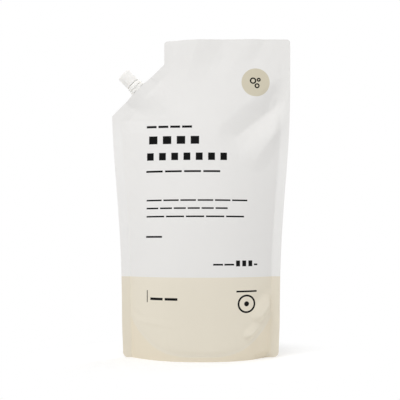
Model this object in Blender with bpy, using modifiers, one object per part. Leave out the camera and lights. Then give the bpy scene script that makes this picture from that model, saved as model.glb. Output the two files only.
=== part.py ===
"""A filled stand-up refill pouch with a spout and a screw cap in its cut corner.

Metres, +Z up. The pouch stands on the floor at z = 0, its printed front faces -Y, and the
spout points up and towards -X. The pouch is one sealed solid: the film with its contents.
"""

import math

import bmesh
import bpy
from mathutils import Vector

# Film: the flat blank with its seals, and how it is filled.
FILM_WIDTH = 0.161
POUCH_HEIGHT = 0.2850
SIDE_SEAL = 0.008
TOP_SEAL = 0.010
HEAD_FADE = 0.020
CREASE_EDGE = 3.0
SEAL_THICK = 0.0010
HALF_DEPTH = 0.033
FILL_RISE = 3.2
FILL_TAPER = 2.6
BASE_FLARE = 0.0016
SIDE_PULL = 1.5
BELLY_BASE = 2.4
BELLY_TOP = 2.0

# Print: the height of the tinted band around the pouch's foot.
BAND_HEIGHT = 0.0725

# Outline: the cut corner, the tab beside it and the rounded corners.
CUT_LOW = 0.2155
TAB_WIDTH = 0.1135
TOP_CORNER = 0.003
BASE_CORNER = 0.0045
TOP_DROOP = 0.0020
DROOP_CURVE = 2.5
DROOP_PEAK = 0.030

# Underside: the gusset between the two skirts, and its U-shaped weld.
GUSSET_HEIGHT = 0.036
SKIRT_WELD = 0.0038
SKIRT_THICK = 0.0012
WELD_CURVE = 3.4
WELD_LIP = 0.0012
LIP_RISE = 0.006
GUSSET_REACH = 0.965
GUSSET_DROOP = 0.0012
FLAT_SHARE = 0.62
CUTTER_REACH = 0.005

# Creases of the film, each a start and an end (x, z), a depth and a width. A ridge is negative.
FRONT_CREASES = (
    ((0.073, 0.231), (0.036, 0.196), 0.0036, 0.0075),
    ((0.074, 0.214), (0.050, 0.183), -0.0022, 0.0085),
    ((0.064, 0.042), (0.052, 0.034), 0.0012, 0.0045),
)
BACK_CREASES = (
    ((-0.066, 0.205), (-0.022, 0.190), 0.0030, 0.0080),
    ((0.070, 0.186), (0.034, 0.206), 0.0026, 0.0080),
)

# Spout: its place on the cut, its lean, and the sizes along and across its axis.
SPOUT_ALONG_CUT = 0.0340
SPOUT_LEAN = math.radians(45)
BOAT_LENGTH = 0.030
BOAT_THICK = 0.0098
BOAT_DEPTH = 0.0095
BOAT_COVER = 0.0011
BOAT_FADE = 0.016
LOWER_FLANGE_BASE = 0.0005
LOWER_FLANGE_THICK = 0.0020
LOWER_FLANGE_LONG = 0.0150
LOWER_FLANGE_WIDE = 0.0116
UPPER_FLANGE_BASE = 0.0035
UPPER_FLANGE_THICK = 0.0024
UPPER_FLANGE_RADIUS = 0.0070
NECK_RADIUS = 0.0046
BORE_RADIUS = 0.0036
MOUTH_HEIGHT = 0.0180
MOUTH_ROUND = 0.0005

# Cap: a turned shell with a ribbed grip.
CAP_BASE = 0.0072
CAP_TOP_THICK = 0.0012
CAP_WALL = 0.0009
CAP_RADIUS = 0.0063
CAP_EDGE = 0.0008
CAP_RIBS = 36
RIB_HEIGHT = 0.00018
RIB_SINK = 0.00005
RIB_FLANKS = ((0.0, 0.0), (0.3, 1.0), (0.6, 1.0), (0.9, 0.0))
GRIP_MARGIN = 0.0012
MOUTH_CLEARANCE = 0.0003

# Gap between two pieces that touch, and the fineness of the solids.
FIT = 0.0003
ROW_STEP = 0.0062
BASE_ROW_STEP = 0.0040
COLUMNS = 32
CORNER_STEPS = 3
EDGE_STEPS = 3
GUSSET_COLUMNS = 22
GUSSET_ROWS = 12
TURN_STEPS = 48
BOAT_STEPS = 12
FLANGE_CORNER_STEPS = 6

FILM_COLOR = (0.83, 0.83, 0.81, 1)
BAND_COLOR = (0.75, 0.68, 0.55, 1)
SPOUT_COLOR = (0.90, 0.90, 0.89, 1)
CAP_COLOR = (0.90, 0.90, 0.89, 1)


def smooth_step(low, high, value):
    share = min(max((value - low) / (high - low), 0.0), 1.0)
    return share * share * (3.0 - 2.0 * share)


# The pouch's outline, worked out from the blank and from how far it is filled.


def half_depth(z):
    """Half of the pouch's thickness in its middle, at height z."""
    filled = HALF_DEPTH * max(1.0 - (z / POUCH_HEIGHT) ** FILL_RISE, 0.0) ** FILL_TAPER
    return filled + BASE_FLARE * (1.0 - smooth_step(0.0, GUSSET_HEIGHT, z))


def half_width(z):
    """The blank's half width, drawn in as far as the filling bows the film."""
    return FILM_WIDTH / 2 - SIDE_PULL * half_depth(z) ** 2 / FILM_WIDTH


TAB_LEFT = FILM_WIDTH / 2 - TAB_WIDTH
CUT_HIGH = CUT_LOW + half_width(CUT_LOW) + TAB_LEFT
CENTRE_SHIFT = (half_width(CUT_LOW) - FILM_WIDTH / 2) / 2


def corner_inset(distance, radius):
    """How far a rounded corner stands in from its side, at a distance from its end."""
    if distance >= radius:
        return 0.0
    return radius - math.sqrt(max(radius**2 - (radius - distance) ** 2, 0.0))


def side_line(z):
    """The left side at height z, along the cut and the tab, before its corners are rounded."""
    if z <= CUT_LOW:
        return -half_width(z)
    return min(-half_width(CUT_LOW) + z - CUT_LOW, TAB_LEFT)


def edges_at(z):
    """The left and right edge of the film at height z."""
    rounding = corner_inset(z, BASE_CORNER) + corner_inset(POUCH_HEIGHT - z, TOP_CORNER)
    return side_line(z) + rounding, half_width(z) - rounding


def top_droop(x, z):
    """How far the tab's left corner hangs below the blank's straight top, at (x, z)."""
    share = max(DROOP_PEAK - x, 0.0) / (DROOP_PEAK - TAB_LEFT)
    return TOP_DROOP * share**DROOP_CURVE * smooth_step(CUT_HIGH, POUCH_HEIGHT, z)


def weld_height(share):
    """The U-shaped weld's height, at a share of the way from the middle to the side seal."""
    rise = GUSSET_HEIGHT - SKIRT_WELD
    return SKIRT_WELD + rise * min(abs(share), 1.0) ** WELD_CURVE


# The spout's place: a point on the cut, the way out along its axis, and the way along the cut.

SPOUT_AXIS = Vector((-math.sin(SPOUT_LEAN), 0, math.cos(SPOUT_LEAN)))
CUT_AXIS = Vector((math.cos(SPOUT_LEAN), 0, math.sin(SPOUT_LEAN)))
CUT_START = Vector((-half_width(CUT_LOW), 0, CUT_LOW))
SPOUT_POINT = CUT_START + CUT_AXIS * SPOUT_ALONG_CUT


def spout_bulge(x, z):
    """Half of the thickness that the spout's boat gives the film over it."""
    offset = Vector((x, 0, z)) - SPOUT_POINT
    across = offset.dot(CUT_AXIS) / (BOAT_LENGTH / 2 + BOAT_COVER)
    inside = -offset.dot(SPOUT_AXIS)
    fade = 1.0 - smooth_step(BOAT_DEPTH, BOAT_DEPTH + BOAT_FADE, inside)
    return (BOAT_THICK / 2 + BOAT_COVER) * max(1.0 - across**2, 0.0) * fade


def crease_depth(x, z, creases):
    """How far the creases draw the film in at this place."""
    total = 0.0
    for start, end, depth, width in creases:
        run = Vector((end[0] - start[0], end[1] - start[1]))
        to_point = Vector((x - start[0], z - start[1]))
        share = to_point.dot(run) / run.length_squared
        nearest = run * min(max(share, 0.0), 1.0)
        distance = (to_point - nearest).length
        total += depth * math.exp(-((distance / width) ** 2))
    return total


def half_thickness(x, z, creases):
    """From the film's middle plane to its outside, at (x, z)."""
    left = side_line(z) + SIDE_SEAL
    if CUT_LOW < z < CUT_HIGH:
        left = side_line(z) + SIDE_SEAL / math.cos(SPOUT_LEAN)
    right = half_width(z) - SIDE_SEAL
    share = (2 * x - left - right) / (right - left)
    if abs(share) >= 1.0:
        belly = 0.0
    else:
        power = BELLY_BASE + (BELLY_TOP - BELLY_BASE) * z / POUCH_HEIGHT
        profile = 1.0 - abs(share) ** power
        seal_line = POUCH_HEIGHT - TOP_SEAL
        seal_fade = 1.0 - smooth_step(seal_line - HEAD_FADE, seal_line, z)
        lip = WELD_LIP * smooth_step(0.0, LIP_RISE, z - weld_height(share))
        inward = crease_depth(x, z, creases) * min(profile * CREASE_EDGE, 1.0)
        belly = max(half_depth(z) * profile * seal_fade + lip * profile - inward, 0.0)
    bulge = spout_bulge(x, z)
    return SEAL_THICK / 2 + math.hypot(belly, bulge)


# Meshes, objects and materials.


def material(name, color, roughness):
    made = bpy.data.materials.new(name)
    made.use_nodes = True
    shader = made.node_tree.nodes["Principled BSDF"]
    shader.inputs["Base Color"].default_value = color
    shader.inputs["Roughness"].default_value = roughness
    shader.inputs["Metallic"].default_value = 0.0
    return made


def new_object(name, mesh, collection, parent=None):
    made = bpy.data.objects.new(name, mesh)
    collection.objects.link(made)
    made.parent = parent
    return made


def solid_between(name, near, far):
    """A closed mesh from two grids of points of one layout, joined around their edges."""
    shape = bmesh.new()
    grids = [[[shape.verts.new(p) for p in row] for row in grid] for grid in (near, far)]
    for grid, turned in zip(grids, (False, True)):
        for low, high in zip(grid, grid[1:]):
            for i in range(len(low) - 1):
                corners = [low[i], low[i + 1], high[i + 1], high[i]]
                shape.faces.new(corners[::-1] if turned else corners)
    rims = []
    for grid in grids:
        right = [row[-1] for row in grid[1:-1]]
        left = [row[0] for row in grid[1:-1]]
        rims.append(grid[0] + right + grid[-1][::-1] + left[::-1])
    count = len(rims[0])
    for i in range(count):
        j = (i + 1) % count
        shape.faces.new([rims[0][j], rims[0][i], rims[1][i], rims[1][j]])
    bmesh.ops.recalc_face_normals(shape, faces=shape.faces)
    mesh = bpy.data.meshes.new(name)
    shape.to_mesh(mesh)
    shape.free()
    return mesh


def turned(name, profile, collection, parent):
    """A turned solid about its own Z axis, from (radius, height) points running top to bottom."""
    mesh = bpy.data.meshes.new(name)
    points = [(radius, 0, height) for radius, height in profile]
    mesh.from_pydata(points, [(i, i + 1) for i in range(len(points) - 1)], [])
    made = new_object(name, mesh, collection, parent)
    screw = made.modifiers.new("turn", "SCREW")
    screw.axis = "Z"
    screw.steps = TURN_STEPS
    screw.render_steps = TURN_STEPS
    screw.use_merge_vertices = True
    screw.merge_threshold = 0.00001
    return made


def plate(name, outlines, base, thickness, collection, parent):
    """A flat plate across the axis, its outline extruded upwards from the height base."""
    curve = bpy.data.curves.new(name, "CURVE")
    curve.dimensions = "2D"
    curve.fill_mode = "BOTH"
    curve.extrude = thickness / 2
    for outline in outlines:
        spline = curve.splines.new("POLY")
        spline.points.add(len(outline) - 1)
        spline.use_cyclic_u = True
        for point, (x, y) in zip(spline.points, outline):
            point.co = (x, y, 0, 1)
    drawn = new_object(name + "_outline", curve, collection, parent)
    drawn.location.z = base + thickness / 2
    bpy.context.view_layer.update()
    graph = bpy.context.evaluated_depsgraph_get()
    mesh = bpy.data.meshes.new_from_object(drawn.evaluated_get(graph))
    shape = bmesh.new()
    shape.from_mesh(mesh)
    bmesh.ops.remove_doubles(shape, verts=shape.verts, dist=0.000001)
    shape.to_mesh(mesh)
    shape.free()
    made = new_object(name, mesh, collection)
    made.matrix_world = drawn.matrix_world
    bpy.data.objects.remove(drawn)
    return made


def as_cutter(thing):
    thing.hide_render = True
    thing.display_type = "WIRE"
    return thing


def combine(thing, tool, operation):
    step = thing.modifiers.new(tool.name, "BOOLEAN")
    step.operation = operation
    step.solver = "EXACT"
    step.object = tool


def finish(thing, surface):
    thing.data.materials.append(surface)
    thing.data.shade_smooth()
    thing.data.set_sharp_from_angle(angle=math.radians(35))


# The pouch.


def row_heights():
    """Heights of the pouch's rows: close at the rounded corners and over the gusset's weld."""
    heights = {0.0, POUCH_HEIGHT}
    for step in range(1, CORNER_STEPS + 1):
        share = 1.0 - math.cos(math.pi / 2 * step / CORNER_STEPS)
        heights.add(BASE_CORNER * share)
        heights.add(POUCH_HEIGHT - TOP_CORNER * share)
    knots = [BASE_CORNER, GUSSET_HEIGHT, BAND_HEIGHT, CUT_LOW, CUT_HIGH, POUCH_HEIGHT - TOP_CORNER]
    for low, high in zip(knots, knots[1:]):
        step = BASE_ROW_STEP if high <= GUSSET_HEIGHT else ROW_STEP
        count = math.ceil((high - low) / step)
        heights.update(low + (high - low) * i / count for i in range(1, count))
        heights.add(high)
    return sorted(heights)


def film_grid(side, creases):
    """The outside of one panel: side is -1 at the front and 1 at the back."""
    rows = []
    for z in row_heights():
        left, right = edges_at(z)
        row = []
        for column in range(COLUMNS + 1):
            x = left + (right - left) * column / COLUMNS
            depth = half_thickness(x, z, creases)
            row.append((x + CENTRE_SHIFT, side * depth, z - top_droop(x, z)))
        rows.append(row)
    return rows


def gusset_grid(outer):
    """The hollow under the gusset: outer is True for its roof, and False for its open foot."""
    reach = (half_width(0.0) - SIDE_SEAL) * GUSSET_REACH
    rows = []
    for row_index in range(GUSSET_ROWS + 1):
        across = 2 * row_index / GUSSET_ROWS - 1
        row = []
        for column in range(GUSSET_COLUMNS + 1):
            along = 2 * column / GUSSET_COLUMNS - 1
            x = reach * along
            weld = weld_height(along)
            creases = FRONT_CREASES if across < 0 else BACK_CREASES
            wall = min(half_thickness(x, 0.0, creases), half_thickness(x, weld, creases))
            ridge = smooth_step(FLAT_SHARE, 1.0, abs(along)) * (GUSSET_HEIGHT + GUSSET_DROOP)
            rise = across * across
            roof = weld * rise + (ridge - GUSSET_DROOP) * (1 - rise)
            z = roof if outer else -CUTTER_REACH
            row.append((x + CENTRE_SHIFT, across * (wall - SKIRT_THICK), z))
        rows.append(row)
    return rows


def boat_outline(clearance):
    """The boat seen along the spout's axis: two shallow arcs that meet in points at its ends."""
    length = BOAT_LENGTH / 2 + clearance
    thick = BOAT_THICK / 2 + clearance
    points = []
    for side in (-1, 1):
        for step in range(BOAT_STEPS):
            x = -side * length * math.cos(math.pi * step / BOAT_STEPS)
            points.append((-x, side * thick * (1 - (x / length) ** 2)))
    return points


def build_pouch(parts, cutters, spout_frame):
    front = film_grid(-1, FRONT_CREASES)
    back = film_grid(1, BACK_CREASES)
    pouch = new_object("pouch", solid_between("pouch", front, back), parts)
    hollow = solid_between("gusset_hollow", gusset_grid(True), gusset_grid(False))
    combine(pouch, as_cutter(new_object("gusset_hollow", hollow, cutters)), "DIFFERENCE")
    depth = BOAT_DEPTH + FIT
    outline = [boat_outline(FIT)]
    pocket = plate("boat_pocket", outline, -depth, depth + CUTTER_REACH, cutters, spout_frame)
    combine(pouch, as_cutter(pocket), "DIFFERENCE")
    finish(pouch, material("film", FILM_COLOR, 0.45))
    pouch.data.materials.append(material("film_band", BAND_COLOR, 0.45))
    for face in pouch.data.polygons:
        face.material_index = int(face.center.z < BAND_HEIGHT)


# The spout and its cap, both drawn upwards along the spout's axis from the cut edge of the film.


def rounded_rectangle(length, width, steps):
    """An outline with half-round ends, its length along X."""
    points = []
    for end in (1, -1):
        for step in range(steps + 1):
            angle = end * math.pi / 2 - end * math.pi * step / steps
            x = end * (length - width) / 2 + end * width / 2 * math.cos(angle)
            points.append((x, width / 2 * math.sin(angle)))
    return points


def build_spout(parts, cutters, spout_frame):
    upper_top = UPPER_FLANGE_BASE + UPPER_FLANGE_THICK
    profile = [
        (0, MOUTH_HEIGHT),
        (NECK_RADIUS - MOUTH_ROUND, MOUTH_HEIGHT),
        (NECK_RADIUS, MOUTH_HEIGHT - MOUTH_ROUND),
        (NECK_RADIUS, upper_top),
        (UPPER_FLANGE_RADIUS, upper_top),
        (UPPER_FLANGE_RADIUS, UPPER_FLANGE_BASE),
        (NECK_RADIUS - MOUTH_ROUND, UPPER_FLANGE_BASE),
        (NECK_RADIUS - MOUTH_ROUND, -BOAT_DEPTH / 2),
        (0, -BOAT_DEPTH / 2),
    ]
    spout = turned("spout", profile, parts, spout_frame)
    boat = plate("boat", [boat_outline(0.0)], -BOAT_DEPTH, BOAT_DEPTH, cutters, spout_frame)
    flange_outline = [rounded_rectangle(LOWER_FLANGE_LONG, LOWER_FLANGE_WIDE, FLANGE_CORNER_STEPS)]
    flange = plate(
        "lower_flange", flange_outline, LOWER_FLANGE_BASE, LOWER_FLANGE_THICK, cutters, spout_frame
    )
    bore_profile = [
        (0, MOUTH_HEIGHT + CUTTER_REACH),
        (BORE_RADIUS, MOUTH_HEIGHT + CUTTER_REACH),
        (BORE_RADIUS, -BOAT_DEPTH - CUTTER_REACH),
        (0, -BOAT_DEPTH - CUTTER_REACH),
    ]
    bore = turned("bore", bore_profile, cutters, spout_frame)
    combine(spout, as_cutter(boat), "UNION")
    combine(spout, as_cutter(flange), "UNION")
    combine(spout, as_cutter(bore), "DIFFERENCE")
    finish(spout, material("spout_plastic", SPOUT_COLOR, 0.4))


def ribbed_outline():
    """The grip seen along the axis: flat-topped ribs with grooves of the same width."""
    points = []
    for rib in range(CAP_RIBS):
        for along, raised in RIB_FLANKS:
            angle = 2 * math.pi * (rib + along) / CAP_RIBS
            radius = CAP_RADIUS - RIB_SINK + RIB_HEIGHT * raised
            points.append((radius * math.cos(angle), radius * math.sin(angle)))
    return points


def circle_outline(radius):
    angles = [2 * math.pi * step / TURN_STEPS for step in range(TURN_STEPS)]
    return [(radius * math.cos(angle), radius * math.sin(angle)) for angle in angles]


def build_cap(parts, cutters, spout_frame):
    inner_top = MOUTH_HEIGHT + MOUTH_CLEARANCE
    top = inner_top + CAP_TOP_THICK
    inner = CAP_RADIUS - CAP_WALL
    profile = [(0, top)]
    for step in range(EDGE_STEPS + 1):
        angle = math.pi / 2 * step / EDGE_STEPS
        radius = CAP_RADIUS - CAP_EDGE * (1 - math.sin(angle))
        profile.append((radius, top - CAP_EDGE * (1 - math.cos(angle))))
    profile += [
        (CAP_RADIUS, CAP_BASE),
        (inner, CAP_BASE),
        (inner, inner_top),
        (0, inner_top),
    ]
    cap = turned("cap", profile, parts, spout_frame)
    base = CAP_BASE + GRIP_MARGIN
    height = top - CAP_EDGE - GRIP_MARGIN / 2 - base
    outlines = [ribbed_outline(), circle_outline(CAP_RADIUS - CAP_WALL / 2)]
    grip = plate("cap_grip", outlines, base, height, cutters, spout_frame)
    combine(cap, as_cutter(grip), "UNION")
    finish(cap, material("cap_plastic", CAP_COLOR, 0.35))


def main():
    for thing in list(bpy.data.objects):
        bpy.data.objects.remove(thing)
    parts = bpy.data.collections.new("refill_pouch")
    cutters = bpy.data.collections.new("cutters")
    for group in (parts, cutters):
        bpy.context.scene.collection.children.link(group)
    spout_frame = new_object("spout_frame", None, parts)
    spout_frame.location = SPOUT_POINT + Vector((CENTRE_SHIFT, 0, 0))
    spout_frame.rotation_euler = (0, -SPOUT_LEAN, 0)
    bpy.context.view_layer.update()
    build_pouch(parts, cutters, spout_frame)
    build_spout(parts, cutters, spout_frame)
    build_cap(parts, cutters, spout_frame)


main()
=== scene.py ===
"""The looks of a filled stand-up refill pouch with a corner spout and a screw cap.

The file is laid out as an add-on and is run as a script. Metres, +Z up, the printed front
faces -Y, and the spout points up and towards -X.
"""

import math

import bmesh
import bpy
import numpy as np
from bpy.props import FloatProperty, FloatVectorProperty, IntProperty, PointerProperty
from mathutils import Matrix, Vector


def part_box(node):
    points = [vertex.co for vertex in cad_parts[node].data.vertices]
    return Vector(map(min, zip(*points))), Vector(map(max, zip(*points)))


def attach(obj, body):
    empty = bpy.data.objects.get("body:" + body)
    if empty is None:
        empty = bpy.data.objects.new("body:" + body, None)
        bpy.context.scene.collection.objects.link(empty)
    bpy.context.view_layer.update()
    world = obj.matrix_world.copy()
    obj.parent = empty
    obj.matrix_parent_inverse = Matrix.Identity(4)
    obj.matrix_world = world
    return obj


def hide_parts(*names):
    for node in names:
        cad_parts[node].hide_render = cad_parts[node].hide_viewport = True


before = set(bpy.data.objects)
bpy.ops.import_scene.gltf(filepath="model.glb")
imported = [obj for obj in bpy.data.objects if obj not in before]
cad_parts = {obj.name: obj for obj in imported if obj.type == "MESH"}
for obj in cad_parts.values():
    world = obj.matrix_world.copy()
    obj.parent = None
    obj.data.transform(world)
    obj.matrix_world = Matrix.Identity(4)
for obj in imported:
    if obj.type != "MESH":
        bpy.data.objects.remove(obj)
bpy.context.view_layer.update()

bl_info = {
    "name": "Refill pouch",
    "version": (1, 0, 0),
    "blender": (4, 5, 0),
    "location": "3D View > Sidebar > Refill Pouch",
    "description": "Builds a filled stand-up refill pouch with a corner spout and a screw cap",
    "category": "Add Mesh",
}

MM = 0.001
POUCH_LOW, POUCH_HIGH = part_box("pouch")

# How the pouch is filled, as shares and powers of the film's sizes.
FILL_RISE = 3.2
FILL_TAPER = 2.6
SIDE_PULL = 1.5
BELLY_BASE = 2.4
BELLY_TOP = 2.0
WELD_CURVE = 3.4
DROOP_CURVE = 2.5
# Shares of the way to the side seals where the gusset starts to rise, and where it is closed.
FLAT_SHARE = 0.62
FLOOR_EDGE = 0.995
# How steeply creases end at the seals, above and at the foot, and the heights between which
# one gives way to the other.
CREASE_EDGE = 5.0
CREASE_EDGE_FOOT = 12.0
CREASE_FOOT = (0.060, 0.110)
# Shares of the height between which the head gets slack, and its crinkles stand out.
SLACK = (0.45, 0.95)
CRINKLED = (0.55, 0.85)
# Waves and crinkles: count, shortest and longest length, and the seeds of their draws.
SWAY_WAVES = (7, 0.045, 0.110)
CRINKLE_WAVES = (12, 0.008, 0.026)
SWAY_SEED = 5
FRONT_SEED = 11
BACK_SEED = 12
# The crinkles' least share of their height, and where they grow on the way to the side seals.
CRINKLE_BASE = 0.35
CRINKLE_SEAL = (0.55, 0.98)
# The least shares of the film's thickness that stay open in the pocket and under the gusset.
POCKET_SHARE = 0.3
HOLLOW_SHARE = 0.25

# Folds of the panels, in millimetres: start and end (x, z), depth, width of the flank on the
# left and on the right of the way from start to end, and the share of the depth at the end.
# A valley is positive and a ridge is negative.
FRONT_FOLDS = (
    ((71, 229), (32, 197), 3.0, 18, 15, 0.8),
    ((79, 218), (49, 177), -2.2, 12, 16, 0.7),
    ((-50, 241), (-30, 219), -2.6, 16, 12, 0.3),
    ((-70, 212.5), (-40, 210), 2.0, 14, 12, 0.3),
    ((61.5, 47), (53.5, 37), -6.5, 2.4, 11, 0.8),
    ((55, 58), (45, 47), 2.4, 12, 8, 0.6),
    ((43, 21), (50, 27), -4.4, 7, 2.4, 0.6),
    ((66, 33), (57, 19), 0.8, 3, 4, 0.3),
    ((-52, 33), (-22, 29), -0.5, 5, 2, 0.2),
    ((-64, 44), (-50, 35), 0.6, 3, 4, 0.3),
    ((-61.5, 35), (-61.5, 27), 0.4, 0.8, 0.8, 1.0),
    ((62.5, 37), (62.5, 32), 0.4, 0.8, 0.8, 1.0),
    ((64, -2), (51, -2), 6.5, 4, 8, 0.6),
)
BACK_FOLDS = (
    ((-72, 214), (-24, 190), 3.0, 13, 12, 0.6),
    ((72, 196), (36, 212), 2.4, 12, 14, 0.6),
    ((-42, 238), (-18, 212), 0.8, 7, 7, 0.2),
    ((66, 50), (50, 36), -1.5, 9, 2, 0.5),
    ((-66, 47), (-52, 33), -1.4, 2, 8, 0.5),
    ((64, 31), (42, 19), -1.0, 6, 3, 0.4),
    ((-62, 30), (-42, 18), -1.0, 3, 6, 0.4),
    ((-61.5, 35), (-61.5, 27), 0.4, 0.8, 0.8, 1.0),
    ((61.5, 35), (61.5, 27), 0.4, 0.8, 0.8, 1.0),
)
# Waves of the slack head, which move both panels together, in the same form.
HEAD_FOLDS = (
    ((45, 286), (24, 254), -0.6, 12, 11, 0.4),
    ((20, 284), (3, 250), 0.5, 12, 12, 0.4),
    ((58, 284), (46, 260), 0.6, 9, 9, 0.4),
    ((-2, 287), (-13, 248), -2.4, 24, 30, 0.3),
    ((76, 232), (33, 197), 6.0, 20, 18, 0.8),
    ((82, 219), (50, 177), -5.6, 12, 16, 0.7),
)
# Width over which those waves fade in from the outline.
HEAD_EDGE = 0.014
# Rounding of a fold's line, in millimetres, and the power that softens its foot.
FOLD_ROUND = 0.4
FOLD_FOOT = 1.15

# Rows of plain bars, in millimetres: left, right, foot and height of each row, the pitch of
# its cells and the inked share of each cell.
PRINT_BARS = (
    (-48.5, -7.2, 203.8, 2.1, 10.5, 0.84),
    (-46.3, -1.8, 189.1, 7.2, 12.32, 0.61),
    (-48.0, 22.6, 174.5, 6.7, 10.80, 0.56),
    (-48.6, 16.6, 163.7, 1.7, 16.8, 0.88),
    (-48.1, 40.4, 138.3, 1.4, 15.0, 0.90),
    (-48.1, 22.9, 131.3, 1.4, 12.1, 0.87),
    (-48.1, 37.4, 124.1, 1.4, 17.4, 0.91),
    (-48.4, -34.1, 106.3, 1.6, 30.0, 1.0),
    (10.2, 28.4, 82.3, 1.5, 9.7, 0.88),
    (30.1, 44.6, 81.5, 5.1, 5.50, 0.64),
    (46.2, 49.2, 82.3, 1.5, 9.0, 1.0),
    (-47.6, -46.9, 50.0, 10.5, 9.0, 1.0),
    (-44.5, -20.5, 52.1, 2.2, 12.9, 0.86),
    (30.3, 48.6, 59.0, 1.5, 40.0, 1.0),
)
# Rings, in millimetres: centre (x, z), middle radius and line width.
PRINT_RINGS = (
    (39.4, 48.9, 7.2, 1.6),
    (39.4, 48.9, 1.1, 2.2),
    (46.5, 247.4, 2.3, 1.3),
    (51.6, 248.3, 1.2, 1.2),
    (50.1, 242.8, 1.7, 1.2),
)
# The disc's centre, and the width over which every printed edge blends, in millimetres.
DISC_CENTRE = (48.8, 245.9)
PRINT_EDGE = 0.12


def metres(name, description, default):
    return FloatProperty(name=name, description=description, default=default, unit="LENGTH")


def degrees(name, description, angle):
    default = math.radians(angle)
    return FloatProperty(name=name, description=description, default=default, subtype="ANGLE")


def watts(name, default):
    return FloatProperty(name=name, description="Power in watts", default=default, min=0)


def colour(name, description, default):
    return FloatVectorProperty(
        name=name, description=description, subtype="COLOR", size=3, default=default
    )


class FilmSettings(bpy.types.PropertyGroup):
    """Sizes and colours of the film pouch."""

    width: metres("Blank width", "Width of the flat film", 0.161)
    height: metres("Height", "Height of the pouch", POUCH_HIGH.z - POUCH_LOW.z)
    half_depth: metres("Half depth", "Half of the filled pouch's depth near its foot", 0.033)
    base_flare: metres("Base flare", "How far the skirts stand out at the floor", 0.0016)
    side_seal: metres("Side seal", "Width of the side seals", 0.008)
    top_seal: metres("Top seal", "Height of the top seal", 0.010)
    head_fade: metres("Head fade", "Height over which the belly ends below the top seal", 0.020)
    seal_thick: metres("Seal thickness", "Thickness of the welded edges", 0.0006)
    sheet_thick: metres("Sheet thickness", "Thickness of one panel", 0.0003)
    gusset_height: metres("Gusset height", "Height of the folded gusset at the side seals", 0.036)
    skirt_weld: metres("Skirt weld", "Height of the U-shaped weld in the middle", 0.0038)
    weld_lip: metres("Weld lip", "How far the filled film stands out over the weld", 0.0009)
    lip_rise: metres("Lip rise", "Height of the lip's slope", 0.0055)
    base_corner: metres("Base corner", "Radius of the lower corners", 0.0045)
    top_corner: metres("Top corner", "Radius of the upper corners", 0.003)
    top_droop: metres("Top droop", "How far the tab's free corner hangs", 0.0020)
    droop_peak: metres("Droop peak", "Where the top edge starts to fall, from the middle", 0.030)
    tab_width: metres("Tab width", "Width of the film beside the cut corner", 0.1135)
    cut_low: metres("Cut height", "Height where the corner cut starts", 0.2155)
    band_height: metres("Band height", "Height of the tinted band", 0.0720)
    sway: metres("Head sway", "How far the slack head bends to and fro", 0.0007)
    crinkle: metres("Crinkle", "Height of the fine crinkles", 0.00010)
    color: colour("Film", "White film", (0.818, 0.808, 0.792))
    # The seals' colour is lighter than the film's as painted light, as if light shone through the
    # thin welded film; it also colours the painted highlight above the foot's weld.
    lit_seal_color: colour("Seals", "Welded white film", (0.86, 0.853, 0.84))
    band_color: colour("Band", "Tinted band", (0.80, 0.745, 0.63))
    skirt_color: colour("Skirt", "Welded film at the foot", (0.81, 0.735, 0.595))
    disc_color: colour("Disc", "Printed disc", (0.64, 0.59, 0.465))
    disc_radius: metres("Disc radius", "Radius of the printed disc", 0.0127)
    ink_color: colour("Ink", "Dark print", (0.002, 0.002, 0.002))


class SpoutSettings(bpy.types.PropertyGroup):
    """Sizes and colour of the spout."""

    along_cut: metres("Along the cut", "From the cut's lower end to the spout's axis", 0.034)
    lean: degrees("Lean", "Lean of the spout and of the cut", 45)
    boat_length: metres("Boat length", "Length of the boat", 0.030)
    boat_thick: metres("Boat thickness", "Thickness of the boat", 0.0098)
    boat_depth: metres("Boat depth", "How far the boat goes into the film", 0.0095)
    cover: metres("Cover", "From the boat to the middle of the film over it", 0.0004)
    boat_fade: metres("Boat fade", "Length over which the film closes below the boat", 0.040)
    neck_radius: metres("Neck radius", "Radius of the neck", 0.0046)
    bore_radius: metres("Bore radius", "Radius of the bore", 0.0036)
    mouth_height: metres("Mouth height", "From the cut edge to the mouth", 0.018)
    thread_height: metres("Thread height", "Height of the thread", 0.0004)
    thread_pitch: metres("Thread pitch", "Pitch of the thread", 0.0028)
    color: colour("Spout", "White plastic", (0.95, 0.935, 0.90))


class CapSettings(bpy.types.PropertyGroup):
    """Sizes and colour of the screw cap."""

    base: metres("Base", "From the cut edge to the cap", 0.0072)
    radius: metres("Radius", "Radius of the cap", 0.0063)
    wall: metres("Wall", "Thickness of the side", 0.0009)
    top_thick: metres("Top", "Thickness of the top", 0.0012)
    edge: metres("Edge", "Radius of the top edge", 0.0009)
    ribs: IntProperty(name="Ribs", description="Ribs of the grip", default=36, min=3)
    rib_height: metres("Rib height", "Height of the ribs", 0.00012)
    color: colour("Cap", "White plastic", (0.91, 0.895, 0.865))


class StudioSettings(bpy.types.PropertyGroup):
    """The camera and the light."""

    camera_distance: metres("Camera distance", "From the camera to the pouch's middle plane", 0.800)
    camera_height: metres("Camera height", "Height of the camera", 0.100)
    camera_aside: metres("Camera aside", "Sideways place of the camera", -0.0011)
    camera_tilt: degrees("Camera tilt", "How far the camera looks up", 1.604)
    lens: FloatProperty(
        name="Lens", description="Focal length in millimetres", default=80.4, min=1
    )
    rise: FloatProperty(
        name="Rise", description="How far the frame is shifted up, in frame widths", default=0.05
    )
    key: watts("Key light", 3.6)
    fill: watts("Fill light", 1.55)
    bounce: watts("Bounce light", 1.2)
    back: watts("Back light", 3.5)
    surround: FloatProperty(
        name="Surround", description="Strength of the white room's light", default=0.62, min=0
    )


def smooth_step(low, high, value):
    share = np.clip((value - low) / (high - low), 0.0, 1.0)
    return share * share * (3.0 - 2.0 * share)


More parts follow.
